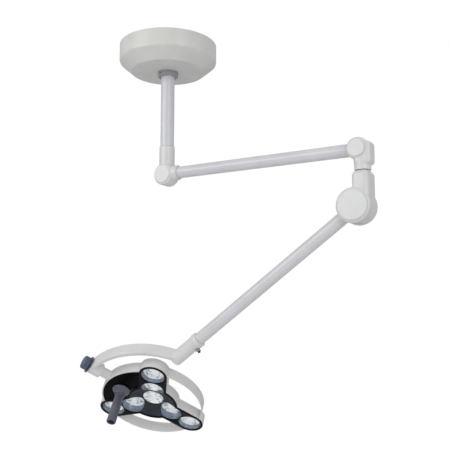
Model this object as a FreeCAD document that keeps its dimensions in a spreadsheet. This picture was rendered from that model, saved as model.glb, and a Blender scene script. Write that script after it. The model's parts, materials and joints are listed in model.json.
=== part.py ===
import FreeCAD, Part
import math
import os
import re
import Sketcher

# Ceiling-mounted surgical light, millimetres.
# +Z is up. The origin is on the ceiling plane, on the axis of the down tube.
# The horizontal arm runs along +X and the spring arm folds back beneath it, towards -X.

doc = FreeCAD.newDocument("surgical_light")
sheet = doc.addObject("Spreadsheet::Sheet", "Dimensions")

sizes = {
    # ceiling unit
    "plate_radius": 150, "plate_thickness": 12, "cable_hole_radius": 20,
    "anchor_circle_radius": 120, "anchor_hole_radius": 6.5,
    "flange_radius": 62, "flange_thickness": 12, "flange_bolt_circle_radius": 46,
    "flange_bolt_radius": 5, "canopy_radius": 173, "canopy_wall_height": 61,
    "canopy_height": 98, "canopy_floor_radius": 130, "canopy_thickness": 2.5,
    "collar_radius": 36, "collar_height": 17, "collar_screw_radius": 2.5,
    "supply_length": 50, "supply_width": 90, "supply_height": 40, "supply_reach": 80,
    "terminal_length": 24, "terminal_width": 64, "terminal_height": 22, "terminal_reach": -112,
    # tubes
    "down_tube_radius": 24.15, "tube_wall": 3.6, "down_tube_end": 370,
    "arm_tube_radius": 20.2, "arm_tube_wall": 3,
    # vertical joints
    "joint_gap": 0.6, "spindle_radius": 15, "spindle_end_radius": 12, "bush_radius": 18.95,
    "bush_length": 13, "running_clearance": 0.05, "joint_bore_radius": 19,
    "journal_length": 70, "spindle_length": 82, "spindle_wire_radius": 5,
    # shoulder
    "arm_drop": 468, "shoulder_sleeve_radius": 27, "shoulder_drum_radius": 38,
    "drum_half_width": 28, "drum_round": 8, "cap_height": 2.5,
    "socket_radius": 26, "socket_length": 54, "tube_seat": 31, "grub_screw_drop": 400,
    # elbow
    "elbow_reach": 715, "elbow_drum_reach": 705, "elbow_drum_radius": 34,
    "elbow_neck_radius": 25, "elbow_neck_end": 534, "elbow_screw_drop": 505,
    # hub of the spring arm
    "hub_reach": 693, "hub_drop": 641, "hub_radius": 54, "hub_half_width": 39,
    "hub_cover_radius": 46, "hub_cover_height": 5,
    "hub_cavity_radius": 37.5, "hub_cavity_half_width": 22, "pillar_depth": 52,
    "pillar_width": 72, "knuckle_radius": 34, "knuckle_half_width": 20, "pin_radius": 8,
    # spring arm
    "arm_slope": 35.73, "arm_tube_start": 42, "arm_tube_end": 680.4,
    "sleeve_radius": 23.5, "sleeve_start": 681, "sleeve_end": 806, "spigot_radius": 15,
    "rod_radius": 4, "rod_start": 66, "rod_end": 440, "washer_start": 418, "washer_radius": 16.5,
    "washer_thickness": 6, "seat_start": 126, "seat_thickness": 8, "seat_radius": 17,
    "spring_start": 136.2, "spring_turns": 24, "spring_pitch": 11.65,
    "spring_coil_radius": 11.5, "spring_wire_radius": 2,
    # yoke, seen from the swivel axis along the spring arm
    "yoke_swivel": 133.8, "knob_lean": 8, "yoke_roll": 11.2, "yoke_joint": 783.5,
    "yoke_radius": 254, "yoke_sweep": 77.7, "yoke_width": 44, "yoke_thickness": 16,
    "boss_radius": 25, "boss_start": 216, "boss_end": 263, "tilt_shaft_radius": 10,
    "knob_radius": 23, "knob_end": 289,
    "head_tilt": 5.5,
    # lamp head, seen from its own centre
    "ring_radius": 182, "ring_wall": 4, "head_half_height": 18.5, "head_wall": 3.5,
    "arm_half_width": 50, "outer_lens_reach": 163, "inner_lens_reach": 80,
    "hub_dish_radius": 93, "cup_radius": 40.5, "lens_radius": 37, "lens_depth": 23.5, "outer_lens_lift": 9,
    "bezel_thickness": 2.5, "handle_reach": 119, "handle_angle": 69,
    "handle_radius": 15.5, "handle_length": 109, "handle_flange_radius": 32,
    "tilt_axis_angle": 60,
}
for row, (alias, number) in enumerate(sizes.items(), start=1):
    sheet.set("A%d" % row, alias)
    sheet.set("B%d" % row, str(number))
    sheet.setAlias("B%d" % row, alias)
doc.recompute()


def size(alias):
    return float(sheet.get(alias))


def linked(text):
    """Point every size named in an expression at its cell in the sheet."""
    def cell(word):
        return "Dimensions." + word.group() if word.group() in sizes else word.group()
    return re.sub(r"[a-z][a-z_]*", cell, str(text))


# ---------------------------------------------------------------- building blocks
subParts = []


def place(part, frame):
    """Move a part by a frame. A part whose own place is bound to the sheet moves inside a group."""
    if frame.isIdentity():
        return part
    if any("Placement" in path for path, text in part.ExpressionEngine):
        part = grouped(part)
    part.Placement = frame.multiply(part.Placement)
    return part


def finish(part, label, frame=FreeCAD.Placement()):
    part = place(part, frame)
    part.Label = label
    subParts.append(part)
    return part


def solid(kind, at=(0, 0, 0), turn=None, **lengths):
    part = doc.addObject("Part::" + kind, kind)
    if turn:
        part.Placement.Rotation = FreeCAD.Rotation(FreeCAD.Vector(*turn[:3]), turn[3])
    for name, text in lengths.items():
        part.setExpression(name, linked(text))
    for axis, text in zip("xyz", at):
        part.setExpression("Placement.Base." + axis, linked(text))
    return part


alongX = (0, 1, 0, 90)
alongY = (1, 0, 0, -90)


def fused(*parts):
    union = doc.addObject("Part::MultiFuse", "Union")
    union.Shapes = list(parts)
    union.Refine = True
    return union


def cut(base, *tools):
    result = doc.addObject("Part::Cut", "Cut")
    result.Base = base
    result.Tool = tools[0] if len(tools) == 1 else fused(*tools)
    result.Refine = True
    return result


def grouped(*parts):
    group = doc.addObject("Part::Compound", "Group")
    group.Links = list(parts)
    return group


def originPlane(body, role):
    return next(feature for feature in body.Origin.OriginFeatures if feature.Role == role)


def outline(body, corners):
    """A closed outline on the body's XZ plane, each corner held by two bound distances."""
    sketch = body.newObject("Sketcher::SketchObject", "Outline")
    sketch.AttachmentSupport = [(originPlane(body, "XZ_Plane"), "")]
    sketch.MapMode = "FlatFace"
    count = len(corners)
    spots = [FreeCAD.Vector(50 + 20 * math.cos(2 * math.pi * k / count),
                            50 + 20 * math.sin(2 * math.pi * k / count), 0) for k in range(count)]
    for k in range(count):
        sketch.addGeometry(Part.LineSegment(spots[k], spots[(k + 1) % count]))
    for k in range(count):
        sketch.addConstraint(Sketcher.Constraint("Coincident", k, 2, (k + 1) % count, 1))
    for k, (across, up) in enumerate(corners):
        for kind, text in (("DistanceX", across), ("DistanceY", up)):
            index = sketch.addConstraint(Sketcher.Constraint(kind, -1, 1, k, 1, 50.0))
            sketch.setExpression("Constraints[%d]" % index, linked(text))
    return sketch


def turned(corners, angle="360"):
    """A body of revolution about Z through corners given as (radius, height)."""
    body = doc.addObject("PartDesign::Body", "Turned")
    sketch = outline(body, corners)
    feature = body.newObject("PartDesign::Revolution", "Revolution")
    feature.Profile = sketch
    feature.ReferenceAxis = (sketch, ["V_Axis"])
    feature.setExpression("Angle", linked(angle))
    return body


def ringProfile(inner, outer, low, high):
    return [(inner, low), (outer, low), (outer, high), (inner, high)]


def curved(edge):
    return edge.Curve.TypeId == "Part::GeomCircle"


def rounded(part, radius, test):
    """Round the edges of a part for which the test on the edge holds."""
    doc.recompute()
    fillet = doc.addObject("Part::Fillet", "Rounded")
    fillet.Base = part
    fillet.Edges = [(number, radius, radius)
                    for number, edge in enumerate(part.Shape.Edges, start=1) if test(edge)]
    return fillet


def frameFrom(origin, xAxis, yAxis, zAxis):
    return FreeCAD.Placement(origin, FreeCAD.Rotation(xAxis, yAxis, zAxis, "ZXY"))


def offset(x=0, y=0, z=0, turn=None):
    rotation = FreeCAD.Rotation(FreeCAD.Vector(*turn[:3]), turn[3]) if turn else FreeCAD.Rotation()
    return FreeCAD.Placement(FreeCAD.Vector(x, y, z), rotation)


# ---------------------------------------------------------------- frames of the moving groups
slope = math.radians(size("arm_slope"))
armFrame = frameFrom(
    FreeCAD.Vector(size("hub_reach"), 0, -size("hub_drop")),
    FreeCAD.Vector(math.sin(slope), 0, -math.cos(slope)),
    FreeCAD.Vector(0, -1, 0),
    FreeCAD.Vector(-math.cos(slope), 0, -math.sin(slope)))

# The knob axis leans from square to the spring arm, and the yoke's plane is rolled about it.
lean = math.radians(size("knob_lean"))
roll = math.radians(size("yoke_roll"))
sweep = math.radians(size("yoke_sweep"))
knobAxis = FreeCAD.Vector(math.cos(lean), 0, math.sin(lean))
squareAxis = FreeCAD.Vector(-math.sin(lean), 0, math.cos(lean))
yokeNormal = FreeCAD.Vector(0, math.cos(roll), 0) - squareAxis * math.sin(roll)
yokeUp = yokeNormal.cross(knobAxis)
yokeCentre = (FreeCAD.Vector(0, 0, size("yoke_joint"))
              - (knobAxis * math.cos(sweep) + yokeUp * math.sin(sweep)) * size("yoke_radius"))
swivelFrame = armFrame.multiply(offset(turn=(0, 0, 1, size("yoke_swivel"))))
yokeFrame = swivelFrame.multiply(frameFrom(yokeCentre, knobAxis, yokeUp, yokeNormal))

# The head's own frame has +Z along the light, and its first lens arm along +X.
tiltAngle = math.radians(size("tilt_axis_angle"))
headFrame = yokeFrame.multiply(offset(turn=(1, 0, 0, -size("head_tilt")))).multiply(frameFrom(
    FreeCAD.Vector(),
    FreeCAD.Vector(math.cos(tiltAngle), math.sin(tiltAngle), 0),
    FreeCAD.Vector(math.sin(tiltAngle), -math.cos(tiltAngle), 0),
    FreeCAD.Vector(0, 0, -1)))
tiltFrame = yokeFrame.multiply(offset(turn=alongX))


# ---------------------------------------------------------------- ceiling unit, fixed
def aroundCircle(count, radius, start=0):
    """Expressions for the x and y of evenly spaced places on a circle."""
    for k in range(count):
        angle = start + 360 * k / count
        yield ("(%s) * cos(%s deg)" % (radius, angle), "(%s) * sin(%s deg)" % (radius, angle), angle)


def ceilingPlate():
    plate = solid("Cylinder", (0, 0, "-plate_thickness"),
                  Radius="plate_radius", Height="plate_thickness")
    holes = [solid("Cylinder", (0, 0, "-plate_thickness - 1"),
                   Radius="cable_hole_radius", Height="plate_thickness + 2")]
    for x, y, angle in aroundCircle(6, "anchor_circle_radius", 30):
        holes.append(solid("Cylinder", (x, y, "-plate_thickness - 1"),
                           Radius="anchor_hole_radius", Height="plate_thickness + 2"))
    for x, y, angle in aroundCircle(6, "flange_bolt_circle_radius"):
        holes.append(solid("Cylinder", (x, y, "-plate_thickness - 1"),
                           Radius="flange_bolt_radius", Height="plate_thickness + 2"))
    finish(cut(plate, *holes), "ceiling_plate")


def tubeFlange():
    flange = solid("Cylinder", (0, 0, "-plate_thickness - flange_thickness"),
                   Radius="flange_radius", Height="flange_thickness")
    holes = [solid("Cylinder", (0, 0, "-plate_thickness - flange_thickness - 1"),
                   Radius="down_tube_radius", Height="flange_thickness + 2")]
    for x, y, angle in aroundCircle(6, "flange_bolt_circle_radius"):
        holes.append(solid("Cylinder", (x, y, "-plate_thickness - flange_thickness - 1"),
                           Radius="flange_bolt_radius + 0.5", Height="flange_thickness + 2"))
    finish(cut(flange, *holes), "tube_flange")


def flangeBolts():
    bolts = []
    for x, y, angle in aroundCircle(6, "flange_bolt_circle_radius"):
        shank = solid("Cylinder", (x, y, "-plate_thickness - flange_thickness"),
                      Radius="flange_bolt_radius - 0.05", Height="flange_thickness + 9")
        head = solid("Prism", (x, y, "-plate_thickness - flange_thickness - 6.4"),
                     Circumradius="flange_bolt_radius * 1.96", Height="6.4")
        bolts.append(fused(shank, head))
    finish(grouped(*bolts), "flange_bolts")


def downTube():
    finish(turned(ringProfile("down_tube_radius - tube_wall", "down_tube_radius - 0.05",
                              "-down_tube_end", "-plate_thickness - 0.2")), "down_tube")


def canopyCover():
    wall = "canopy_thickness"
    cover = turned([
        ("canopy_radius", "-1"), ("canopy_radius", "-canopy_wall_height"),
        ("canopy_floor_radius", "-canopy_height"), ("down_tube_radius + 0.6", "-canopy_height"),
        ("down_tube_radius + 0.6", "-canopy_height + " + wall),
        ("canopy_floor_radius - 1", "-canopy_height + " + wall),
        ("canopy_radius - " + wall, "-canopy_wall_height + 1.2"),
        ("canopy_radius - " + wall, "-1")])
    corners = ((size("canopy_radius"), size("canopy_wall_height")),
               (size("canopy_floor_radius"), size("canopy_height")))
    finish(rounded(cover, 10, lambda edge: curved(edge) and any(
        abs(edge.Curve.Radius - reach) < 0.01 and abs(edge.CenterOfMass.z + drop) < 0.01
        for reach, drop in corners)), "canopy_cover")


def radialPin(angle, start, height, radius, length):
    """A pin whose axis points out from the Z axis at an angle, starting at a radius."""
    pin = doc.addObject("Part::Cylinder", "Pin")
    pin.setExpression("Radius", linked(radius))
    pin.setExpression("Height", linked(length))
    pin.Placement = offset(turn=(0, 0, 1, angle)).multiply(offset(start, 0, height, alongX))
    return pin


def tubeCollar():
    ring = turned([
        ("down_tube_radius + 0.05", "-canopy_height - collar_height"),
        ("collar_radius - 2", "-canopy_height - collar_height"),
        ("collar_radius", "-canopy_height - collar_height + 2"),
        ("collar_radius", "-canopy_height - 0.1"),
        ("down_tube_radius + 0.05", "-canopy_height - 0.1")])
    middle = -size("canopy_height") - size("collar_height") / 2
    inside = size("down_tube_radius") + 0.1
    angles = (15, 135, 255)
    holes = [radialPin(angle, inside - 1, middle, "collar_screw_radius + 0.05", "20")
             for angle in angles]
    finish(cut(ring, *holes), "tube_collar")
    screws = [radialPin(angle, inside, middle, "collar_screw_radius", "10") for angle in angles]
    finish(grouped(*screws), "collar_screws")


def supplyParts():
    box = solid("Box", ("supply_reach", "-supply_width / 2", "-plate_thickness - supply_height"),
                Length="supply_length", Width="supply_width", Height="supply_height")
    finish(rounded(box, 2, lambda edge: abs(edge.tangentAt(edge.FirstParameter).z) > 0.9),
           "power_supply")
    block = solid("Box", ("terminal_reach", "-terminal_width / 2",
                          "-plate_thickness - terminal_height"),
                  Length="terminal_length", Width="terminal_width", Height="terminal_height")
    ways = [solid("Cylinder", ("terminal_reach + 6", -25 + 10 * k,
                               "-plate_thickness - terminal_height - 1"),
                  Radius="2.5", Height="14") for k in range(6)]
    finish(cut(block, *ways), "terminal_block")


# ---------------------------------------------------------------- vertical swivel joints
def spindle(label, seat, direction, plugRadius, plugLength, frame):
    """A stepped shaft: a plug fixed in its seat, a running journal and a threaded end."""
    corners = [
        ("spindle_wire_radius", "0 - %s" % plugLength), (plugRadius, "0 - %s" % plugLength),
        (plugRadius, "0"), ("spindle_radius", "0"), ("spindle_radius", "journal_length"),
        ("spindle_end_radius", "journal_length"), ("spindle_end_radius", "spindle_length"),
        ("spindle_wire_radius", "spindle_length")]
    flip = (1, 0, 0, 180) if direction < 0 else None
    finish(turned(corners), label, frame.multiply(offset(z=seat, turn=flip)))


def bushPair(label, seat, direction, frame):
    """Two plain bushes on a spindle, one at its root and one under its nut."""
    bushes = []
    for start in ("2", "journal_length - 0.5 - bush_length"):
        bushes.append(turned(ringProfile("spindle_radius + running_clearance", "bush_radius",
                                         start, start + " + bush_length")))
    flip = (1, 0, 0, 180) if direction < 0 else None
    finish(grouped(*bushes), label, frame.multiply(offset(z=seat, turn=flip)))


def ringNut(label, seat, direction, frame):
    nut = cut(solid("Prism", (0, 0, "journal_length + 0.3"), Circumradius="bush_radius - 0.9",
                    Height="8"),
              solid("Cylinder", (0, 0, "journal_length - 1"), Radius="spindle_end_radius + 0.05",
                    Height="11"))
    flip = (1, 0, 0, 180) if direction < 0 else None
    finish(nut, label, frame.multiply(offset(z=seat, turn=flip)))


def domedCap(radius, height):
    """A cover disc with a rounded edge and a shallow domed face."""
    return turned([("0", "0"), (radius, "0"), (radius, height + " - 1.8"),
                   (radius + " - 0.8", height + " - 0.8"), (radius + " - 3", height + " - 0.2"),
                   (radius + " * 0.5", height + " + 0.7"), ("0", height + " + 1")])


def capPair(label, radius, height, halfWidth, centre):
    reach, rise = centre
    caps = [place(domedCap(radius, height),
                  offset(reach, side * (size(halfWidth) + 0.1), rise, (1, 0, 0, -90 * side)))
            for side in (-1, 1)]
    finish(grouped(*caps), label)


# ---------------------------------------------------------------- shoulder and horizontal arm
def shoulderCasting():
    sleeve = solid("Cylinder", (0, 0, "-arm_drop - 10"), Radius="shoulder_sleeve_radius",
                   Height="arm_drop + 10 - down_tube_end - joint_gap")
    drum = solid("Cylinder", (0, "-drum_half_width", "-arm_drop - 4"), alongY,
                 Radius="shoulder_drum_radius", Height="drum_half_width * 2")
    drum = rounded(drum, size("drum_round"), curved)
    socket = solid("Cylinder", (0, 0, "-arm_drop"), alongX, Radius="socket_radius",
                   Height="socket_length")
    socket = rounded(socket, 6, lambda edge: curved(edge) and edge.CenterOfMass.x > 10)
    bore = solid("Cylinder", (0, 0, "-down_tube_end - 86"), Radius="joint_bore_radius", Height="90")
    seat = solid("Cylinder", ("tube_seat - 1", 0, "-arm_drop"), alongX,
                 Radius="arm_tube_radius + 0.05", Height="60")
    screwHole = radialPin(120, 17, -size("grub_screw_drop"), "3.05", "20")
    finish(cut(fused(sleeve, drum, socket), bore, seat, screwHole), "shoulder_casting")


def horizontalArmTube():
    tube = turned(ringProfile("arm_tube_radius - arm_tube_wall", "arm_tube_radius",
                              "tube_seat", "elbow_reach - 27"))
    finish(tube, "horizontal_arm_tube", offset(z=-size("arm_drop"), turn=alongX))


def elbowCasting():
    drum = solid("Cylinder", ("elbow_drum_reach", "-drum_half_width", "-arm_drop"), alongY,
                 Radius="elbow_drum_radius", Height="drum_half_width * 2")
    drum = rounded(drum, size("drum_round"), curved)
    block = solid("Box", ("elbow_reach - 16", -26, "-arm_drop - 50"),
                  Length="48", Width="52", Height="69")
    block = rounded(block, 11, lambda edge: edge.CenterOfMass.x > size("elbow_reach"))
    skirt = solid("Cone", ("elbow_reach", 0, "-elbow_neck_end + 7"),
                  Radius1="elbow_neck_radius", Radius2="drum_half_width - 0.5", Height="34")
    neck = solid("Cylinder", ("elbow_reach", 0, "-elbow_neck_end"), Radius="elbow_neck_radius",
                 Height="50")
    neckRing = solid("Cylinder", ("elbow_reach", 0, "-elbow_neck_end"),
                     Radius="elbow_neck_radius + 1", Height="3")
    seat = solid("Cylinder", ("elbow_drum_reach - 60", 0, "-arm_drop"), alongX,
                 Radius="arm_tube_radius + 0.05", Height="44")
    bore = solid("Cylinder", ("elbow_reach", 0, "-elbow_neck_end - 1"),
                 Radius="joint_bore_radius", Height="87")
    screwHole = place(radialPin(120, 17, -size("elbow_screw_drop"), "3.05", "25"),
                      offset(size("elbow_reach")))
    finish(cut(fused(drum, block, skirt, neck, neckRing), seat, bore, screwHole),
           "elbow_casting")


def brakeScrews():
    """Grub screws that press on the upper bushes and set the swivels' drag."""
    start = size("joint_bore_radius") + 0.1
    shoulderScrew = radialPin(120, start, -size("grub_screw_drop"), "3", "7")
    elbowScrew = place(radialPin(120, start, -size("elbow_screw_drop"), "3", "6"),
                       offset(size("elbow_reach")))
    finish(grouped(shoulderScrew, elbowScrew), "brake_screws")


# ---------------------------------------------------------------- hub under the elbow
def pieWedge(radius, halfWidth, start, span):
    """A wedge about the hub pin, its angles counted from -X towards -Z."""
    wedge = solid("Cylinder", Radius=radius, Height=halfWidth + " * 2")
    wedge.setExpression("Angle", str(span))
    middle = offset(size("hub_reach"), size(halfWidth), -size("hub_drop"), (1, 0, 0, 90))
    return place(wedge, middle.multiply(offset(turn=(0, 0, 1, 180 + start))))


def hubHousing():
    centre = ("hub_reach", "-hub_half_width", "-hub_drop")
    drum = solid("Cylinder", centre, alongY, Radius="hub_radius", Height="hub_half_width * 2")
    drum = rounded(drum, size("drum_round"), curved)
    pillar = solid("Box", ("elbow_reach - pillar_depth / 2", "-pillar_width / 2", "-hub_drop"),
                   Length="pillar_depth + 1.5", Width="pillar_width",
                   Height="hub_drop - elbow_neck_end - joint_gap - 3")
    pillar = rounded(pillar, 14, lambda edge: edge.CenterOfMass.z > -size("hub_drop") + 1)
    neck = solid("Cylinder", ("elbow_reach", 0, "-elbow_neck_end - joint_gap - 20"),
                 Radius="elbow_neck_radius - 2", Height="20")
    cavity = solid("Cylinder", ("hub_reach", "-hub_cavity_half_width", "-hub_drop"), alongY,
                   Radius="hub_cavity_radius", Height="hub_cavity_half_width * 2")
    window = pieWedge("hub_radius + 30", "hub_cavity_half_width", -42, 146)
    pinBore = solid("Cylinder", ("hub_reach", -60, "-hub_drop"), alongY,
                    Radius="pin_radius + 0.05", Height="120")
    spindleBore = solid("Cylinder", ("elbow_reach", 0, "-elbow_neck_end - 47"),
                        Radius="spindle_radius - 0.95", Height="60")
    finish(cut(fused(drum, pillar, neck), cavity, window, pinBore, spindleBore), "hub_housing")


def hubPin():
    pin = solid("Cylinder", ("hub_reach", "-hub_half_width", "-hub_drop"), alongY,
                Radius="pin_radius", Height="hub_half_width * 2")
    finish(pin, "hub_pivot_pin")


# ---------------------------------------------------------------- spring arm, along its own +Z
def springArmRoot():
    """The knuckle turns on the hub pin, and its neck is plugged into the arm tube."""
    knuckle = solid("Cylinder", (0, "knuckle_half_width", 0), (1, 0, 0, 90),
                    Radius="knuckle_radius", Height="knuckle_half_width * 2")
    shoulder = solid("Cylinder", (0, 0, 10), Radius="arm_tube_radius",
                     Height="arm_tube_start - 10.1")
    plug = solid("Cylinder", (0, 0, 20), Radius="arm_tube_radius - arm_tube_wall - 0.1",
                 Height="arm_tube_start + 20")
    pinBore = solid("Cylinder", (0, 30, 0), (1, 0, 0, 90), Radius="pin_radius + 3.05", Height="60")
    rodBore = solid("Cylinder", (0, 0, 36), Radius="5", Height="60")
    finish(cut(fused(knuckle, shoulder, plug), pinBore, rodBore), "spring_arm_root", armFrame)


def hubBushes():
    bushes = []
    for side in (-1, 1):
        bush = turned([("pin_radius + running_clearance", "0"), ("pin_radius + 3", "0"),
                       ("pin_radius + 3", "18"), ("pin_radius + running_clearance", "18")])
        bushes.append(place(bush, offset(y=side * 1.0, turn=(1, 0, 0, -90 * side))))
    finish(grouped(*bushes), "hub_bushes", armFrame)


def springArmTube():
    finish(turned(ringProfile("arm_tube_radius - arm_tube_wall", "arm_tube_radius",
                              "arm_tube_start", "arm_tube_end")), "spring_arm_tube", armFrame)


def balanceSpring():
    """A round-wire compression spring about the pull rod, drawn as one sweep."""
    pitch, coilRadius = size("spring_pitch"), size("spring_coil_radius")
    helix = Part.makeHelix(pitch, pitch * size("spring_turns"), coilRadius)
    section = Part.Wire([Part.makeCircle(size("spring_wire_radius"),
                                         FreeCAD.Vector(coilRadius, 0, 0),
                                         FreeCAD.Vector(0, 1, 0))])
    coil = Part.Wire(helix.Edges).makePipeShell([section], True, True)
    spring = doc.addObject("Part::Feature", "Spring")
    spring.Shape = coil
    spring.Placement = offset(z=size("spring_start"))
    finish(spring, "balance_spring", armFrame)


def pullRod():
    """The rod draws its washer along the tube against the spring."""
    washerEnd = "washer_start + washer_thickness"
    rod = turned([("0", "rod_start"), ("rod_radius", "rod_start"),
                  ("rod_radius", "washer_start"), ("washer_radius", "washer_start"),
                  ("washer_radius", washerEnd), ("rod_radius", washerEnd),
                  ("rod_radius", "rod_end"), ("0", "rod_end")])
    finish(rod, "spring_rod", armFrame)


def springSeat():
    finish(turned(ringProfile("rod_radius + 0.6", "seat_radius", "seat_start",
                              "seat_start + seat_thickness")), "spring_seat", armFrame)


def adjusterNut():
    start = "washer_start + washer_thickness"
    nut = cut(solid("Prism", (0, 0, start + " + 0.2"), Circumradius="9", Height="8"),
              solid("Cylinder", (0, 0, start + " - 1"), Radius="rod_radius + 0.05", Height="12"))
    finish(nut, "spring_adjuster_nut", armFrame)


def endSpigot():
    """Plugged into the arm tube and running in the yoke's sleeve, with a groove for the clip."""
    bottom = "sleeve_end - 16"
    finish(turned([
        ("6", "arm_tube_end - 40"), ("arm_tube_radius - arm_tube_wall - 0.1", "arm_tube_end - 40"),
        ("arm_tube_radius - arm_tube_wall - 0.1", "arm_tube_end"),
        ("spigot_radius", "arm_tube_end"), ("spigot_radius", "sleeve_start + 20"),
        ("spigot_radius - 3", "sleeve_start + 20"), ("spigot_radius - 3", "sleeve_start + 32"),
        ("spigot_radius", "sleeve_start + 32"), ("spigot_radius", bottom), ("6", bottom)]),
        "arm_end_spigot", armFrame)


# ---------------------------------------------------------------- yoke
def sleeveHollow():
    return solid("Cylinder", (0, 0, "sleeve_start - 5"),
                 Radius="spigot_radius + running_clearance",
                 Height="sleeve_end - sleeve_start - 8")


def yokeSleeve():
    body = turned([
        ("0", "sleeve_start"), ("sleeve_radius + 0.5", "sleeve_start"),
        ("sleeve_radius + 2.5", "sleeve_start + 3"), ("sleeve_radius + 2.5", "sleeve_start + 17"),
        ("sleeve_radius", "sleeve_start + 22"), ("sleeve_radius", "sleeve_end - 9"),
        ("sleeve_radius - 2.5", "sleeve_end - 3.5"), ("sleeve_radius - 8", "sleeve_end"),
        ("0", "sleeve_end")])
    slot = solid("Box", (12.5, -9, "sleeve_start + 20.5"), Length="20", Width="18", Height="11")
    finish(cut(body, sleeveHollow(), slot), "yoke_sleeve", armFrame)


def retentionClip():
    """The tab reaches through the sleeve's slot into the spigot's groove and keeps the yoke on."""
    tab = solid("Box", (12.6, -8.5, "sleeve_start + 21"), Length="20", Width="17", Height="10")
    tab = rounded(tab, 3, lambda edge: edge.CenterOfMass.x > 20)
    screwHole = solid("Cylinder", (14, 0, "sleeve_start + 26"), alongX, Radius="3.05", Height="30")
    finish(cut(tab, screwHole), "retention_clip", armFrame)
    screw = fused(
        solid("Cylinder", (16, 0, "sleeve_start + 26"), alongX, Radius="3", Height="16.7"),
        solid("Cylinder", (32.7, 0, "sleeve_start + 26"), alongX, Radius="4.5", Height="3.5"))
    finish(screw, "clip_screw", armFrame)


def yokeArm():
    """A flat bar bent to an arc about the head's centre, with the tilt boss at its lower end."""
    half = "yoke_thickness / 2"
    bar = turned([("yoke_radius - " + half, "-yoke_width / 2"),
                  ("yoke_radius + " + half, "-yoke_width / 2"),
                  ("yoke_radius + " + half, "yoke_width / 2"),
                  ("yoke_radius - " + half, "yoke_width / 2")], "yoke_sweep")
    bar = rounded(bar, 4, lambda edge: curved(edge) and edge.Length > 100)
    boss = solid("Cylinder", ("boss_start", 0, 0), alongX, Radius="boss_radius",
                 Height="boss_end - boss_start")
    boss = rounded(boss, 3, curved)
    tiltBore = solid("Cylinder", (180, 0, 0), alongX, Radius="tilt_shaft_radius + 3.05",
                     Height="120")
    sleeveSpace = solid("Cylinder", (0, 0, "sleeve_start - 60"), Radius="sleeve_radius + 0.05",
                        Height="250")
    sleeveSpace = place(sleeveSpace, yokeFrame.inverse().multiply(armFrame))
    finish(cut(fused(bar, boss), tiltBore, sleeveSpace), "yoke_arm", yokeFrame)


def tiltBush():
    finish(turned(ringProfile("tilt_shaft_radius + running_clearance", "tilt_shaft_radius + 3",
                              "boss_start + 0.5", "boss_end - 0.5")), "tilt_bush", tiltFrame)


def frictionWasher():
    finish(turned(ringProfile("tilt_shaft_radius + 0.3", "boss_radius + 4", "boss_end + 0.1",
                              "boss_end + 3")), "friction_washer", tiltFrame)


def tensionKnob():
    """A fluted hand knob on a stud that clamps the head's shaft in the yoke."""
    grip = turned([
        ("4", "boss_end + 3.4"), ("knob_radius - 3", "boss_end + 3.4"),
        ("knob_radius", "boss_end + 6"), ("knob_radius", "knob_end - 3"),
        ("knob_radius - 3", "knob_end"), ("0", "knob_end"), ("0", "boss_end + 15.1"),
        ("4", "boss_end + 15.1")])
    flutes = [solid("Cylinder", (x, y, "boss_end + 1"), Radius="6", Height="40")
              for x, y, angle in aroundCircle(8, "knob_radius + 4", 22.5)]
    finish(cut(grip, *flutes), "tension_knob", tiltFrame)
    stud = solid("Cylinder", (0, 0, "boss_end - 25"), Radius="3.95", Height="40")
    finish(stud, "knob_stud", tiltFrame)


# ---------------------------------------------------------------- lamp head
lampAngles = (0, 120, 240)


def slotShape(angle, reach, halfWidth, low, height):
    """A straight bar with one round end, reaching out from the head's centre."""
    bar = solid("Box", (0, "-(%s)" % halfWidth, low), Length=reach,
                Width="2 * (%s)" % halfWidth, Height=height)
    end = solid("Cylinder", (reach, 0, low), Radius=halfWidth, Height=height)
    return place(fused(bar, end), offset(turn=(0, 0, 1, angle)))


def starShape(halfWidth, hubRadius, low, height):
    """The three lens arms and the round hub between them."""
    arms = [slotShape(angle, "outer_lens_reach", halfWidth, low, height) for angle in lampAngles]
    hub = solid("Cylinder", (0, 0, low), Radius=hubRadius, Height=height)
    return fused(hub, *arms)


def sectorShape(radius, low, height):
    """The closed sector between the first two lens arms."""
    sector = solid("Cylinder", (0, 0, low), Radius=radius, Height=height)
    sector.setExpression("Angle", "120")
    return sector


def headHousing():
    """A thin band with three lens arms and one closed sector inside it, open towards the light."""
    low = "-head_half_height"
    band = cut(
        solid("Cylinder", (0, 0, low), Radius="ring_radius", Height="head_half_height * 2"),
        solid("Cylinder", (0, 0, "-head_half_height - 1"), Radius="ring_radius - ring_wall",
              Height="head_half_height * 2 + 2"))
    floorAndWalls = fused(
        starShape("arm_half_width", "hub_dish_radius", low, "head_half_height * 2 - 1.5"),
        sectorShape("ring_radius - 1", low, "head_half_height * 2 - 1.5"))
    inside = fused(
        starShape("arm_half_width - head_wall", "hub_dish_radius - head_wall",
                  "-head_half_height + 3", "head_half_height * 2"),
        sectorShape("ring_radius - ring_wall", "-head_half_height + 3", "head_half_height * 2"))
    rebate = starShape("arm_half_width - 1.1", "hub_dish_radius - 1.1",
                       "head_half_height - 1.4", "10")
    wires = solid("Cylinder", (0, 0, "-head_half_height - 1"), Radius="8", Height="10")
    finish(cut(fused(band, floorAndWalls), inside, rebate, wires), "head_housing", headFrame)


def cupHoles(radius, low, height, reaches=("inner_lens_reach", "outer_lens_reach")):
    return [place(solid("Cylinder", (reach, 0, low), Radius=radius, Height=height),
                  offset(turn=(0, 0, 1, angle)))
            for angle in lampAngles for reach in reaches]


def gripPlace():
    """Where the grip's axis stands in the head's own frame."""
    return offset(turn=(0, 0, 1, size("handle_angle"))).multiply(offset(size("handle_reach")))


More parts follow.
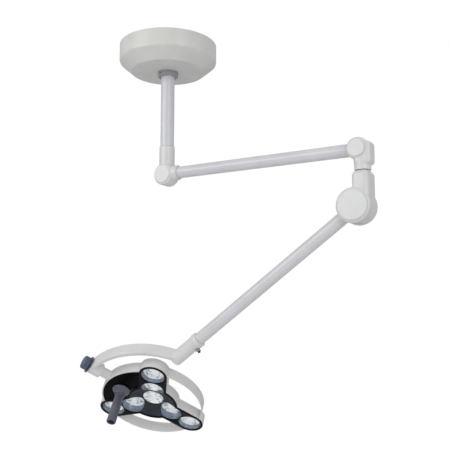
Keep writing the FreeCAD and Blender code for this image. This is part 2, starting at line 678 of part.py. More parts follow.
def frontBezel():
    plate = starShape("arm_half_width - 1.3", "hub_dish_radius - 1.3",
                      "head_half_height - 1.3", "bezel_thickness")
    dish = solid("Cylinder", (0, 0, 0), Radius="hub_dish_radius - 10", Height="40")
    flange = solid("Cylinder", Radius="handle_flange_radius + 0.3", Height="40")
    flange = place(flange, gripPlace())
    finish(cut(plate, dish, flange, *cupHoles("cup_radius", "0", "40")), "front_bezel", headFrame)


def sectorPanel():
    panel = sectorShape("ring_radius - ring_wall - 0.2", "head_half_height - 4", "2")
    star = starShape("arm_half_width + 0.3", "hub_dish_radius + 0.3", "0", "30")
    finish(cut(panel, star), "sector_panel", headFrame)


def dishCone(step):
    """The dish's inner surface as a solid, from its rim down to the middle lens."""
    return turned([
        ("0", "head_half_height - lens_depth - 1"),
        ("lens_radius + 1.5 + %s" % step, "head_half_height - lens_depth - 1"),
        ("lens_radius + 1.5 + %s" % step, "head_half_height - lens_depth"),
        ("hub_dish_radius - 10.5 + %s" % step, "head_half_height - 1.5"),
        ("hub_dish_radius - 10.5 + %s" % step, "40"), ("0", "40")])


def hubDish():
    wall = turned([
        ("lens_radius + 0.4", "head_half_height - lens_depth - 2"),
        ("lens_radius + 3", "head_half_height - lens_depth - 2"),
        ("hub_dish_radius - 8", "head_half_height - 3.4"),
        ("hub_dish_radius - 8", "head_half_height - 1.4"),
        ("hub_dish_radius - 10.5", "head_half_height - 1.4"),
        ("lens_radius + 1.5", "head_half_height - lens_depth"),
        ("lens_radius + 0.4", "head_half_height - lens_depth")])
    cups = cupHoles("cup_radius + 0.3", "-20", "60", ("inner_lens_reach",))
    finish(cut(wall, *cups), "hub_dish", headFrame)


def reflectorCup(reach, lift="0"):
    low = "head_half_height - lens_depth - 2 + " + lift
    cup = turned([("lens_radius + 0.4", low), ("lens_radius + 2", low),
                  ("cup_radius - 0.1", "head_half_height - 1.5"),
                  ("cup_radius - 1.8", "head_half_height - 1.5"),
                  ("lens_radius + 0.4", low + " + 2.5")])
    return place(cup, offset(size(reach)))


def reflectors():
    for number, angle in enumerate(lampAngles, start=1):
        inner = cut(reflectorCup("inner_lens_reach"),
                    place(dishCone("0"), offset(turn=(0, 0, 1, -angle))))
        pair = grouped(inner, reflectorCup("outer_lens_reach", "outer_lens_lift"))
        finish(pair, "reflector_pair_%d" % number, headFrame.multiply(offset(turn=(0, 0, 1, angle))))


def lensPlaces():
    """Where each lens stands, and how far its face is raised."""
    yield offset(), "0"
    for angle in lampAngles:
        for reach, lift in (("inner_lens_reach", "0"), ("outer_lens_reach", "outer_lens_lift")):
            yield offset(turn=(0, 0, 1, angle)).multiply(offset(size(reach))), lift


def lenses():
    """Solid cone-shaped collimating lenses, each over one light source."""
    foot = "head_half_height - lens_depth - 8"
    for number, (spot, lift) in enumerate(lensPlaces(), start=1):
        face = "head_half_height - lens_depth + " + lift
        lens = turned([("0", foot), ("13", foot), ("lens_radius", face + " - 2"),
                       ("lens_radius", face), ("0", face)])
        finish(lens, "lens_%d" % number, headFrame.multiply(spot))


def lightSources():
    face = "head_half_height - lens_depth"
    boards = [place(solid("Cylinder", (0, 0, face + " - 9.8"), Radius="14", Height="1.6"), spot)
              for spot, lift in lensPlaces()]
    finish(grouped(*boards), "led_boards", headFrame)


def rearCover():
    low = "-head_half_height - 14"
    cover = turned([
        ("84", "-head_half_height - 0.1"), ("86", "-head_half_height - 0.1"), ("62", low),
        ("0", low), ("0", low + " + 2"), ("61", low + " + 2")])
    finish(cover, "rear_cover", headFrame)
    plate = solid("Cylinder", (0, 0, "-head_half_height - 3.1"), Radius="56", Height="3")
    fins = [solid("Box", (-38, -38 + 9.5 * k, "-head_half_height - 10"),
                  Length="76", Width="2", Height="8") for k in range(9)]
    finish(fused(plate, *fins), "heat_sink", headFrame)


def tiltSpigot():
    sleeve = turned([
        ("4.1", "ring_radius - 8"), ("17", "ring_radius - 8"), ("17", "boss_start - 0.4"),
        ("tilt_shaft_radius", "boss_start - 0.4"), ("tilt_shaft_radius", "boss_end + 2"),
        ("4.1", "boss_end + 2")])
    band = solid("Cylinder", (0, 0, -40), Radius="ring_radius + 0.1", Height="80")
    place(sleeve, offset(turn=(0, 0, 1, size("tilt_axis_angle"))).multiply(offset(turn=alongX)))
    finish(cut(sleeve, band), "tilt_spigot", headFrame)


def handleParts():
    base = "head_half_height - 1.9"
    frame = headFrame.multiply(gripPlace())
    finish(turned([
        ("0", base), ("handle_flange_radius - 1", base),
        ("handle_flange_radius", base + " + 2.5"), ("handle_flange_radius - 2", base + " + 6"),
        ("handle_radius + 5", base + " + 16"), ("handle_radius + 3.5", base + " + 22"),
        ("handle_radius - 6", base + " + 22"), ("handle_radius - 6", base + " + 60"),
        ("0", base + " + 60")]), "handle_socket", frame)
    low = base + " + 22.4"
    top = base + " + 22.4 + handle_length"
    finish(turned([
        ("handle_radius - 5.6", low), ("handle_radius + 0.5", low),
        ("handle_radius", low + " + 3"), ("handle_radius + 0.6", top + " - 2"),
        ("handle_radius - 0.6", top), ("handle_radius - 3", top),
        ("handle_radius - 3", low + " + 50"), ("handle_radius - 5.6", low + " + 50")]),
        "sterile_handle", frame)


# ---------------------------------------------------------------- build, check and write
ceilingPlate()
tubeFlange()
flangeBolts()
downTube()
canopyCover()
tubeCollar()
supplyParts()
plain = offset()
spindle("shoulder_spindle", -size("down_tube_end"), -1, "down_tube_radius - tube_wall - 0.1",
        "60", plain)
bushPair("shoulder_bushes", -size("down_tube_end"), -1, plain)
ringNut("shoulder_nut", -size("down_tube_end"), -1, plain)
shoulderCasting()
capPair("shoulder_caps", "shoulder_drum_radius - drum_round - 0.5", "cap_height",
        "drum_half_width", (0, -size("arm_drop") - 4))
horizontalArmTube()
elbowCasting()
capPair("elbow_caps", "elbow_drum_radius - drum_round - 0.5", "cap_height",
        "drum_half_width", (size("elbow_drum_reach"), -size("arm_drop")))
brakeScrews()
elbowAxis = offset(size("elbow_reach"))
elbowSeat = -size("elbow_neck_end") - size("joint_gap")
spindle("elbow_spindle", elbowSeat, 1, "spindle_radius - 1", "46", elbowAxis)
bushPair("elbow_bushes", elbowSeat, 1, elbowAxis)
ringNut("elbow_nut", elbowSeat, 1, elbowAxis)
hubHousing()
capPair("hub_covers", "hub_cover_radius", "hub_cover_height", "hub_half_width",
        (size("hub_reach"), -size("hub_drop")))
hubPin()
springArmRoot()
hubBushes()
springArmTube()
springSeat()
balanceSpring()
pullRod()
adjusterNut()
endSpigot()
yokeSleeve()
retentionClip()
yokeArm()
tiltBush()
frictionWasher()
tensionKnob()
headHousing()
frontBezel()
sectorPanel()
hubDish()
reflectors()
lenses()
lightSources()
rearCover()
tiltSpigot()
handleParts()
doc.recompute()

for item in doc.Objects:
    if "Invalid" in item.State or "Error" in item.State:
        raise RuntimeError("%s (%s) did not recompute" % (item.Name, item.Label))
for part in subParts:
    if part.Shape.isNull() or not part.Shape.isValid() or not part.Shape.Solids:
        raise RuntimeError("%s has no valid solid" % part.Label)

os.makedirs("parts", exist_ok=True)
for part in subParts:
    part.Shape.exportStep("parts/%s.step" % part.Label)
    print("%-22s %d solid(s) %10.0f mm3" % (part.Label, len(part.Shape.Solids), part.Shape.Volume))
print(len(subParts), "sub-parts written")
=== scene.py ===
import json
import math
import random

import bmesh
import bpy
from mathutils import Matrix, Vector


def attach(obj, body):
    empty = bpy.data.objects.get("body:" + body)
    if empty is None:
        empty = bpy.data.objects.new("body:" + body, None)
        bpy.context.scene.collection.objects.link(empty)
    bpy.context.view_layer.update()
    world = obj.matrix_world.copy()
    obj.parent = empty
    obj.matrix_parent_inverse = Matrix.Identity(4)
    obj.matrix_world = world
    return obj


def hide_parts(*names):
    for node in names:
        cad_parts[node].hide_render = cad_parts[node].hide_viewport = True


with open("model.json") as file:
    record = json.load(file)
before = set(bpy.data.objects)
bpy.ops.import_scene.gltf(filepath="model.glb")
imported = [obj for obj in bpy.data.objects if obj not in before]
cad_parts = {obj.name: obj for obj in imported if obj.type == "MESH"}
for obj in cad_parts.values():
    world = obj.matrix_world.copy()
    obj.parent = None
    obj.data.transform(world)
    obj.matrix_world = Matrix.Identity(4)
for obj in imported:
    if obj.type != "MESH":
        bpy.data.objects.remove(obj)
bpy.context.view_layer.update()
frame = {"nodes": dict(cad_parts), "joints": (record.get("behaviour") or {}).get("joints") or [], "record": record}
nodes = frame["nodes"]
joints = {joint["name"]: joint for joint in frame["joints"]}
bodyOf = {name: body for body, names in frame["record"]["behaviour"]["bodies"].items()
          for name in names}
slotOf = {part["node"]: part["material_slot"] for part in frame["record"]["subparts"]}
mm = 0.001
print("frame loaded:", len(nodes), "nodes")


# --- materials: helpers
def toLinear(hexColour):
    values = [int(hexColour[i:i + 2], 16) / 255 for i in (1, 3, 5)]
    return tuple(v / 12.92 if v <= 0.04045 else ((v + 0.055) / 1.055) ** 2.4
                 for v in values) + (1.0,)


def addNode(tree, kind, settings=None, inputs=None):
    # settings are the node's own properties; an input is a value, or a socket to link
    node = tree.nodes.new(kind)
    for name, value in (settings or {}).items():
        setattr(node, name, value)
    for name, value in (inputs or {}).items():
        if isinstance(value, bpy.types.NodeSocket):
            tree.links.new(value, node.inputs[name])
        else:
            node.inputs[name].default_value = value
    return node


def startMaterial(name, shader):
    # an empty material with a Principled shader, and the object's own coordinates for patterns
    material = bpy.data.materials.new(name)
    material.use_nodes = True
    tree = material.node_tree
    tree.nodes.clear()
    surface = addNode(tree, "ShaderNodeBsdfPrincipled", inputs=shader)
    addNode(tree, "ShaderNodeOutputMaterial", inputs={"Surface": surface.outputs["BSDF"]})
    spot = addNode(tree, "ShaderNodeTexCoord").outputs["Object"]
    return material, tree, surface, spot


def wander(tree, spot, featureMm, low, high, detail=2.0):
    # a value that drifts between low and high over features of the given size
    noise = addNode(tree, "ShaderNodeTexNoise", inputs={
        "Vector": spot, "Scale": 1 / (featureMm * mm), "Detail": detail})
    return addNode(tree, "ShaderNodeMapRange", inputs={
        "Value": noise.outputs["Fac"], "From Min": 0.32, "From Max": 0.68,
        "To Min": low, "To Max": high}).outputs["Result"]


def blendTint(tree, factor, hexLow, hexHigh):
    mix = addNode(tree, "ShaderNodeMix", {"data_type": "RGBA"}, {"Factor": factor})
    mix.inputs[6].default_value = toLinear(hexLow)
    mix.inputs[7].default_value = toLinear(hexHigh)
    return mix.outputs[2]


def finishWith(tree, surface, tint, rough, height, depthMm):
    # links the three things every finish here has: a drifting tint, a drifting gloss, a relief
    bump = addNode(tree, "ShaderNodeBump", inputs={"Height": height, "Distance": depthMm * mm})
    tree.links.new(tint, surface.inputs["Base Color"])
    tree.links.new(rough, surface.inputs["Roughness"])
    tree.links.new(bump.outputs["Normal"], surface.inputs["Normal"])


# --- painted metal
# Polyester powder coat over cast aluminium and steel tube. The melted powder leaves a faint
# orange peel, so highlights are soft and slightly broken.
powderCoat = {
    "powder_coat_castings": {"light": "#EBEAE8", "dark": "#E3E2E1", "gloss": (0.28, 0.37),
                             "peelMm": 6.0, "depthMm": 0.012},
    "powder_coat_tubes": {"light": "#E5E5E7", "dark": "#DDDDE1", "gloss": (0.27, 0.35),
                          "peelMm": 16.0, "depthMm": 0.01},
    "powder_coat_canopy": {"light": "#E9E9E3", "dark": "#E0E0DA", "gloss": (0.32, 0.42),
                           "peelMm": 4.0, "depthMm": 0.015},
}


def powderCoatMaterial(name):
    values = powderCoat[name]
    material, tree, surface, spot = startMaterial(name, {
        "IOR": 1.5, "Coat Weight": 0.3, "Coat Roughness": 0.18})
    tint = blendTint(tree, wander(tree, spot, 70, 0, 1), values["dark"], values["light"])
    rough = wander(tree, spot, 11, *values["gloss"])
    peel = wander(tree, spot, values["peelMm"], 0, 1)
    finishWith(tree, surface, tint, rough, peel, values["depthMm"])
    return material


# --- moulded plastics
# ABS and its relatives. The tool's spark-eroded grain scatters the highlight; a polished tool
# leaves only a long, faint waviness. Grain finer than 0.8 mm would not show, so none is finer.
# The soot in the black grades dulls the surface reflection, which "specular" scales down.
moulded = {
    # bright covers pressed over the knuckles
    "abs_cover_white": {"light": "#F0F0EF", "dark": "#E9E9E8", "gloss": (0.32, 0.40),
                        "grainMm": 0.9, "depthMm": 0.012, "ior": 1.53},
    # the star-shaped bezel: polished black, sharp reflections
    "abs_polished_black": {"light": "#0A0B0E", "dark": "#060708", "gloss": (0.16, 0.24),
                           "grainMm": 16, "depthMm": 0.02, "ior": 1.53, "specular": 0.08},
    # the closed sector's panel: black with a satin tool finish
    "abs_satin_black": {"light": "#08080A", "dark": "#040405", "gloss": (0.36, 0.46),
                        "grainMm": 1.4, "depthMm": 0.02, "ior": 1.53, "specular": 0.03},
    # the dish between the lenses: dry charcoal with a coarse eroded grain
    "abs_eroded_charcoal": {"light": "#3B4047", "dark": "#292C32", "gloss": (0.48, 0.60),
                            "grainMm": 1.6, "depthMm": 0.16, "ior": 1.53, "specular": 0.25},
    # grip and its flange: slate polysulphone that stands steam sterilising
    "polysulphone_slate": {"light": "#676978", "dark": "#535463", "gloss": (0.28, 0.38),
                           "grainMm": 1.1, "depthMm": 0.02, "ior": 1.63},
    # the hand knob: a bluer nylon with the same fine grain
    "nylon_knob_slate": {"light": "#596477", "dark": "#48526A", "gloss": (0.34, 0.46),
                         "grainMm": 1.1, "depthMm": 0.03, "ior": 1.53},
    # collar and clip: grey nylon, dull from its glass filling
    "nylon_grey": {"light": "#A9A9AD", "dark": "#9A9AA0", "gloss": (0.44, 0.54),
                   "grainMm": 0.9, "depthMm": 0.02, "ior": 1.53},
    # terminal block and light-source boards: cream PBT
    "pbt_cream": {"light": "#DDD6C0", "dark": "#CFC8B2", "gloss": (0.42, 0.54),
                  "grainMm": 0.9, "depthMm": 0.02, "ior": 1.57},
}


def mouldedMaterial(name):
    values = moulded[name]
    material, tree, surface, spot = startMaterial(name, {
        "IOR": values["ior"], "Specular IOR Level": values.get("specular", 0.5)})
    grain = wander(tree, spot, values["grainMm"], 0, 1, 4.0)
    # half of the tint follows the grain and half a slow drift over 35 mm
    speckle = addNode(tree, "ShaderNodeMath", {"operation": "MULTIPLY_ADD"})
    tree.links.new(grain, speckle.inputs[0])
    speckle.inputs[1].default_value = 0.5
    tree.links.new(wander(tree, spot, 35, 0, 0.5), speckle.inputs[2])
    tint = blendTint(tree, speckle.outputs[0], values["dark"], values["light"])
    rough = wander(tree, spot, 7, *values["gloss"])
    finishWith(tree, surface, tint, rough, grain, values["depthMm"])
    return material


# --- bare metals
# The finish sits in the roughness: plating is bright and slightly cloudy, black oxide is dull,
# turned bronze keeps a fine tool mark, and bead-blasted anodised aluminium is even and soft.
bareMetal = {
    "zinc_plated_steel": {"light": "#CBCCD0", "dark": "#B2B5BA", "gloss": (0.20, 0.34),
                          "grainMm": 1.2},
    "black_oxide_steel": {"light": "#2A2A2E", "dark": "#1C1C20", "gloss": (0.36, 0.48),
                          "grainMm": 0.9},
    "turned_bronze": {"light": "#C99C5C", "dark": "#B2874B", "gloss": (0.26, 0.38),
                      "grainMm": 0.8},
    "anodised_aluminium": {"light": "#B8BABE", "dark": "#A8AAAE", "gloss": (0.34, 0.44),
                           "grainMm": 0.9},
    # vacuum-metallised cup: a blue-grey mirror, dulled a little by its lacquer
    "metallised_cup": {"light": "#9FACBC", "dark": "#8E9BAB", "gloss": (0.24, 0.30),
                       "grainMm": 18},
}


def bareMetalMaterial(name):
    values = bareMetal[name]
    material, tree, surface, spot = startMaterial(name, {"Metallic": 1.0})
    tint = blendTint(tree, wander(tree, spot, 14, 0, 1, 3.0), values["dark"], values["light"])
    rough = wander(tree, spot, values["grainMm"] * 3, *values["gloss"], 3.0)
    finishWith(tree, surface, tint, rough, wander(tree, spot, values["grainMm"], 0, 1, 3.0), 0.008)
    return material


# Injection-moulded optical polycarbonate. Each facet carries painted light: a tone from clear white
# to the grey-green and grey-blue of light bent away from the eye, painted into its colour.
lensFinish = {"stops": ((0.0, "#6F8091"), (0.22, "#8FA09B"), (0.5, "#C9D2D3"), (0.8, "#FFFFFF")),
              "paintedGlow": 0.22, "gloss": (0.06, 0.16)}


def lensMaterial(name):
    material, tree, surface, spot = startMaterial(name, {
        "IOR": 1.585, "Metallic": 0.1, "Coat Weight": 0.6, "Coat Roughness": 0.03})
    # each facet's painted light and shade, set where the lens is made
    paintedLight = addNode(tree, "ShaderNodeAttribute", {"attribute_name": "paintedFacetLight"}).outputs["Fac"]
    ramp = addNode(tree, "ShaderNodeValToRGB", inputs={"Fac": paintedLight})
    first, *between, last = lensFinish["stops"]
    for element, (at, colour) in zip(ramp.color_ramp.elements, (first, last)):
        element.position = at
        element.color = toLinear(colour)
    for at, colour in between:
        ramp.color_ramp.elements.new(at).color = toLinear(colour)
    # painted glow: the unlit lens gives off a little light of its own, so its facets read bright
    tree.links.new(ramp.outputs["Color"], surface.inputs["Emission Color"])
    surface.inputs["Emission Strength"].default_value = lensFinish["paintedGlow"]
    rough = wander(tree, spot, 3, *lensFinish["gloss"])
    finishWith(tree, surface, ramp.outputs["Color"], rough, wander(tree, spot, 1.5, 0, 1), 0.01)
    return material


finishes = {name: powderCoatMaterial(name) for name in powderCoat}
finishes.update({name: mouldedMaterial(name) for name in moulded})
finishes.update({name: bareMetalMaterial(name) for name in bareMetal})
finishes["polycarbonate_lens"] = lensMaterial("polycarbonate_lens")
finishOfSlot = {
    "white_casting": "powder_coat_castings", "white_tube": "powder_coat_tubes",
    "canopy_white": "powder_coat_canopy", "white_cover": "abs_cover_white",
    "plated_steel": "zinc_plated_steel", "black_steel": "black_oxide_steel",
    "bronze": "turned_bronze", "collar_grey": "nylon_grey", "supply_case": "anodised_aluminium",
    "terminal_plastic": "pbt_cream", "clip_grey": "nylon_grey",
    "bezel_black": "abs_polished_black", "panel_black": "abs_satin_black",
    "dish_charcoal": "abs_eroded_charcoal", "reflector_silver": "metallised_cup",
    "lens_clear": "polycarbonate_lens", "board_white": "pbt_cream",
    "sink_aluminium": "anodised_aluminium", "grip_slate": "polysulphone_slate",
}
finishOfNode = {"tension_knob": "nylon_knob_slate"}


def finishOf(node):
    return finishes[finishOfNode.get(node, finishOfSlot[slotOf[node]])]


for name, piece in nodes.items():
    piece.data.materials.clear()
    piece.data.materials.append(finishOf(name))
print("materials made:", len(finishes))


# --- making pieces
def addPiece(name, mesh, replaced):
    # puts a mesh in the scene in place of CAD nodes, on the same body and with their finish
    piece = bpy.data.objects.new(name, mesh)
    bpy.context.scene.collection.objects.link(piece)
    mesh.materials.clear()
    mesh.materials.append(finishOf(replaced[0]))
    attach(piece, bodyOf[replaced[0]])
    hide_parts(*replaced)


def meshFrom(shape, name):
    mesh = bpy.data.meshes.new(name)
    shape.to_mesh(mesh)
    shape.free()
    return mesh


def joinedShape(names):
    shape = bmesh.new()
    for name in names:
        shape.from_mesh(nodes[name].data)
    bmesh.ops.remove_doubles(shape, verts=shape.verts, dist=0.002 * mm)
    return shape


def castSoft(name, replaced, voxelMm, passes):
    # a casting's corners and junctions run into each other, as sand or die casting leaves them
    mesh = meshFrom(joinedShape(replaced), name)
    holder = bpy.data.objects.new(name + "_blank", mesh)
    bpy.context.scene.collection.objects.link(holder)
    remesh = holder.modifiers.new("skin", "REMESH")
    remesh.mode = "VOXEL"
    remesh.voxel_size = voxelMm * mm
    smooth = holder.modifiers.new("blend", "SMOOTH")
    smooth.factor = 0.5
    smooth.iterations = passes
    bpy.context.view_layer.update()
    done = bpy.data.meshes.new_from_object(
        holder.evaluated_get(bpy.context.evaluated_depsgraph_get()))
    bpy.data.objects.remove(holder)
    done.name = name
    done.shade_smooth()
    addPiece(name, done, replaced)


def edgeSoft(name, replaced, widthMm, sharpDegrees=40):
    # rounds the crisp edges of a moulded or machined piece, so that each edge catches light
    shape = joinedShape(replaced)
    bmesh.ops.dissolve_limit(shape, angle_limit=math.radians(0.4), verts=shape.verts,
                             edges=shape.edges)
    sharp = [edge for edge in shape.edges if len(edge.link_faces) == 2
             and edge.calc_face_angle(0) > math.radians(sharpDegrees)]
    bmesh.ops.bevel(shape, geom=sharp, offset=widthMm * mm, segments=2, profile=0.6,
                    affect="EDGES", clamp_overlap=True)
    bmesh.ops.triangulate(shape, faces=shape.faces)
    mesh = meshFrom(shape, name)
    mesh.shade_smooth()
    mesh.set_sharp_from_angle(angle=math.radians(32))
    addPiece(name, mesh, replaced)


castings = {
    "shoulder_knuckle": {"from": ["shoulder_casting"], "voxelMm": 1.6, "passes": 10},
    "elbow_knuckle": {"from": ["elbow_casting"], "voxelMm": 1.5, "passes": 14},
    "hub_knuckle": {"from": ["hub_housing"], "voxelMm": 1.6, "passes": 12},
    "yoke_bar": {"from": ["yoke_arm", "yoke_sleeve"], "voxelMm": 1.3, "passes": 6},
    "hand_knob": {"from": ["tension_knob"], "voxelMm": 0.5, "passes": 5},
}
for name, values in castings.items():
    castSoft(name, values["from"], values["voxelMm"], values["passes"])
print("castings made:", len(castings))

# --- lamp head: its own frame comes from the joints
headCentre = Vector(joints["head_tilt"]["pos_m"])
lightWay = Vector(joints["handle_turn"]["axis"]).normalized()
tiltAxis = Vector(joints["head_tilt"]["axis"]).normalized()
armTurn = math.radians(60)    # from the tilt axis back to the first lens arm
firstArm = (tiltAxis * math.cos(armTurn)
            - lightWay.cross(tiltAxis) * math.sin(armTurn)).normalized()
headFrame = Matrix.Translation(headCentre) @ Matrix(
    (firstArm, lightWay.cross(firstArm), lightWay)).transposed().to_4x4()
headLayout = {"armAngles": (0, 120, 240), "innerMm": 80, "outerMm": 163, "outerLiftMm": 9,
              "rimMm": 18.5, "lensDepthMm": 23.5, "lensRadiusMm": 36.6, "cupRadiusMm": 40.4,
              "dishRadiusMm": 82.5, "dishFootMm": 38.5}
lensFace = headLayout["rimMm"] - headLayout["lensDepthMm"]


def onHead(x, y, z):
    return headFrame @ (Vector((x, y, z)) * mm)


def lensSpots():
    # the middle lens, then the inner and outer lens of each arm: x, y, how far out, face height
    yield 0.0, 0.0, 0.0, lensFace
    for angle in headLayout["armAngles"]:
        turn = math.radians(angle)
        for reach, lift in ((headLayout["innerMm"], 0.0),
                            (headLayout["outerMm"], headLayout["outerLiftMm"])):
            yield reach * math.cos(turn), reach * math.sin(turn), reach, lensFace + lift


# --- faceted lenses
# the last four values paint each facet's light: a random painted shade for each facet, and a painted highlight
# band along the lens's middle
lensForm = {"rings": (7.0, 14.5, 22.0, 29.5), "around": 18, "reliefMm": 2.0, "wobbleMm": 2.0,
            "wobbleShare": 0.25, "sinkMm": 0.3, "middleSinkMm": 0.5, "rimTopMm": 0.1,
            "rimLowMm": 1.9, "backRadiusMm": 13.0, "backMm": 7.5, "seed": 11,
            "paintedLight": 0.66, "paintedLightSpread": 0.24, "paintedBandLight": 0.45, "paintedBandMm": 9.0}


def facetedLens(number, x, y, face):
    # a ring of flat facets with uneven heights, closed by a smooth rim and a narrowing back
    rng = random.Random(lensForm["seed"] + number)
    shape = bmesh.new()
    count = lensForm["around"]
    rows = []
    for index, radius in enumerate(lensForm["rings"], start=1):
        row = []
        for k in range(count):
            aside = rng.uniform(-lensForm["wobbleShare"], lensForm["wobbleShare"])
            turn = 2 * math.pi * (k + 0.5 * (index % 2) + aside) / count
            reach = radius + rng.uniform(-lensForm["wobbleMm"], lensForm["wobbleMm"])
            height = face - lensForm["sinkMm"] - rng.uniform(0, lensForm["reliefMm"])
            row.append(shape.verts.new(onHead(
                x + reach * math.cos(turn), y + reach * math.sin(turn), height)))
        rows.append(row)
    profile = ((headLayout["lensRadiusMm"], face - lensForm["rimTopMm"]),
               (headLayout["lensRadiusMm"], face - lensForm["rimLowMm"]),
               (lensForm["backRadiusMm"], lensFace - lensForm["backMm"]))
    for radius, height in profile:
        rows.append([shape.verts.new(onHead(
            x + radius * math.cos(2 * math.pi * k / count),
            y + radius * math.sin(2 * math.pi * k / count), height)) for k in range(count)])
    top = shape.verts.new(onHead(x, y, face - lensForm["middleSinkMm"]))
    for k in range(count):
        shape.faces.new((top, rows[0][k], rows[0][(k + 1) % count]))
    for inner, outer in zip(rows, rows[1:]):
        for k in range(count):
            a, b, c, d = inner[k], outer[k], outer[(k + 1) % count], inner[(k + 1) % count]
            if rng.random() < 0.5:
                shape.faces.new((a, b, c))
                shape.faces.new((a, c, d))
            else:
                shape.faces.new((a, b, d))
                shape.faces.new((b, c, d))
    shape.faces.new(list(reversed(rows[-1])))
    bmesh.ops.recalc_face_normals(shape, faces=shape.faces)
    mesh = meshFrom(shape, "lens_facets_%d" % number)
    tones = mesh.attributes.new("paintedFacetLight", "FLOAT", "FACE")
    middle = onHead(x, y, face)
    for facet in mesh.polygons:
        # painted light: each facet gets a random painted shade, and facets near a line through the lens's centre a
        # painted highlight, standing in for light sent straight out
        aside = abs((facet.center - middle).dot(headFrame.col[1].xyz)) / (lensForm["paintedBandMm"] * mm)
        paintedLight = (rng.gauss(lensForm["paintedLight"], lensForm["paintedLightSpread"])
                + lensForm["paintedBandLight"] * math.exp(-aside * aside))
        tones.data[facet.index].value = min(1.0, max(0.0, paintedLight))
    addPiece("lens_facets_%d" % number, mesh, ["lens_%d" % number])


spots = list(lensSpots())
for number, (x, y, reach, face) in enumerate(spots, start=1):
    facetedLens(number, x, y, face)
print("lenses made:", len(spots))

# --- metallised cups round the lenses of the arms, with stepped walls
cupForm = {"around": 96, "rows": 20, "stepMm": 4.4, "stepDepthMm": 0.5, "wallMm": 0.8,
           "lensGapMm": 0.6, "holeGapMm": 0.4, "footMm": 1.2, "belowRimMm": 1.6,
           "belowDishMm": 0.1, "leastMm": 0.6}


def dishHeight(radius):
    # how high the dish's surface stands at a distance from the head's centre
    low, high = headLayout["dishFootMm"], headLayout["dishRadiusMm"]
    share = min(1.0, max(0.0, (radius - low) / (high - low)))
    return lensFace + share * (headLayout["rimMm"] - cupForm["belowRimMm"] - lensFace)


def steppedCup(name, spots, replaced):
    shape = bmesh.new()
    foot = headLayout["lensRadiusMm"] + cupForm["lensGapMm"]
    rim = headLayout["cupRadiusMm"] - cupForm["holeGapMm"]
    top = headLayout["rimMm"] - cupForm["belowRimMm"]
    for x, y, reach, face in spots:
        low = face - cupForm["footMm"]
        rows = []
        for j in range(cupForm["rows"] + 1):
            inside, outside = [], []
            for k in range(cupForm["around"]):
                turn = 2 * math.pi * k / cupForm["around"]
                edge = Vector((x + rim * math.cos(turn), y + rim * math.sin(turn)))
                if reach == headLayout["innerMm"]:
                    ceiling = max(face + cupForm["leastMm"],
                                  dishHeight(edge.length) - cupForm["belowDishMm"])
                else:
                    ceiling = top
                height = low + (ceiling - low) * j / cupForm["rows"]
                share = (height - low) / (top - low)
                step = (height - face) % cupForm["stepMm"] / cupForm["stepMm"]
                radius = foot + (rim - foot) * share - cupForm["stepDepthMm"] * step * (j > 0)
                for row, extra in ((inside, 0.0), (outside, cupForm["wallMm"])):
                    row.append(shape.verts.new(onHead(
                        x + (radius + extra) * math.cos(turn),
                        y + (radius + extra) * math.sin(turn), height)))
            rows.append((inside, outside))
        around = cupForm["around"]
        skin = [row[0] for row in rows] + [row[1] for row in reversed(rows)]
        skin.append(skin[0])
        for lower, upper in zip(skin, skin[1:]):
            for k in range(around):
                shape.faces.new((lower[k], lower[(k + 1) % around],
                                 upper[(k + 1) % around], upper[k]))
    bmesh.ops.recalc_face_normals(shape, faces=shape.faces)
    mesh = meshFrom(shape, name)
    mesh.shade_smooth()
    mesh.set_sharp_from_angle(angle=math.radians(25))
    addPiece(name, mesh, replaced)


for arm in range(len(headLayout["armAngles"])):
    pair = spots[1 + 2 * arm:3 + 2 * arm]    # the middle lens, spots[0], has no cup
    steppedCup("cup_pair_%d" % (arm + 1), pair, ["reflector_pair_%d" % (arm + 1)])
print("cups made:", len(spots) - 1)

# --- moulded and machined pieces with rounded edges
softened = {"head_shell": ("head_housing", 1.0), "bezel_star": ("front_bezel", 0.7),
            "panel_sector": ("sector_panel", 0.5), "collar_ring": ("tube_collar", 0.8),
            "clip_tab": ("retention_clip", 0.5)}
for name, (node, widthMm) in softened.items():
    edgeSoft(name, [node], widthMm)
print("softened pieces made:", len(softened))


# --- stage, light and camera
stageForm = {"floorHalf": 4.4, "floorDrop": -2.7, "skyTop": 0.62, "skyLow": 0.26,
             "lowAt": -0.6, "topAt": 0.9}
softboxes = {
    "keySoftbox": {"size": (2.2, 1.6), "watts": 29,
                   "place": (-1.3, -2.7, 0.3), "aim": (0.1, 0, -0.8)},
    "rightSoftbox": {"size": (1.4, 2.2), "watts": 20,
                     "place": (2.8, -1.5, 0.0), "aim": (0.4, 0, -0.7)},
    "lowSoftbox": {"size": (1.6, 1.2), "watts": 3,
                   "place": (0.3, -2.2, -2.3), "aim": (0, 0, -1.1)},
}
camera = {"place": (1.3763, -1.9370, -0.9703), "look": (-0.50218, 0.85424, 0.13450),
          "sensor": 36.0, "lens": 54.82}


def placed(name, data, place, look):
    holder = bpy.data.objects.new(name, data)
    holder.location = place
    holder.rotation_euler = Vector(look).to_track_quat("-Z", "Y").to_euler()
    bpy.context.scene.collection.objects.link(holder)
    return holder


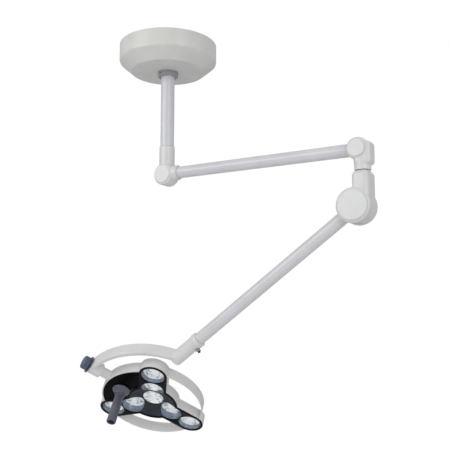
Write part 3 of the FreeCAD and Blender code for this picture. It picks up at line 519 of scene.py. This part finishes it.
def makeStage():
    # the backdrop is plain white to the eye, and a soft grey sky lights the object
    world = bpy.data.worlds.new("studio")
    world.use_nodes = True
    tree = world.node_tree
    tree.nodes.clear()
    way = addNode(tree, "ShaderNodeTexCoord").outputs["Generated"]
    height = addNode(tree, "ShaderNodeSeparateXYZ", inputs={"Vector": way}).outputs["Z"]
    strength = addNode(tree, "ShaderNodeMapRange", inputs={
        "Value": height, "From Min": stageForm["lowAt"], "From Max": stageForm["topAt"],
        "To Min": stageForm["skyLow"], "To Max": stageForm["skyTop"]}).outputs["Result"]
    sky = addNode(tree, "ShaderNodeBackground", inputs={
        "Color": toLinear("#F7F8FC"), "Strength": strength})
    white = addNode(tree, "ShaderNodeBackground", inputs={"Color": (1, 1, 1, 1), "Strength": 1.0})
    seen = addNode(tree, "ShaderNodeLightPath").outputs["Is Camera Ray"]
    mix = addNode(tree, "ShaderNodeMixShader", inputs={"Fac": seen})
    tree.links.new(sky.outputs[0], mix.inputs[1])
    tree.links.new(white.outputs[0], mix.inputs[2])
    addNode(tree, "ShaderNodeOutputWorld", inputs={"Surface": mix.outputs[0]})
    bpy.context.scene.world = world
    half, drop = stageForm["floorHalf"], stageForm["floorDrop"]
    mesh = bpy.data.meshes.new("studio_floor")
    mesh.from_pydata([(-half, -half, drop), (half, -half, drop), (half, half, drop),
                      (-half, half, drop)], [], [(0, 1, 2, 3)])
    floor = bpy.data.objects.new("studio_floor", mesh)
    bpy.context.scene.collection.objects.link(floor)
    # matt emulsion on a studio floor: pale, with a barely visible roller mottle
    paint, tree, surface, spot = startMaterial("emulsion_floor", {"IOR": 1.45})
    tint = blendTint(tree, wander(tree, spot, 300, 0, 1), "#ECECEC", "#F3F3F3")
    finishWith(tree, surface, tint, wander(tree, spot, 60, 0.7, 0.85),
               wander(tree, spot, 6, 0, 1), 0.05)
    mesh.materials.append(paint)


makeStage()
for name, values in softboxes.items():
    light = bpy.data.lights.new(name, "AREA")
    light.shape = "RECTANGLE"
    light.size, light.size_y = values["size"]
    light.energy = values["watts"]
    placed(name, light, values["place"], Vector(values["aim"]) - Vector(values["place"]))
view = bpy.data.cameras.new("camera")
view.sensor_width = camera["sensor"]
view.lens = camera["lens"]
bpy.context.scene.camera = placed("camera", view, camera["place"], camera["look"])
bpy.context.scene.view_settings.view_transform = "Standard"
print("stage, light and camera set")
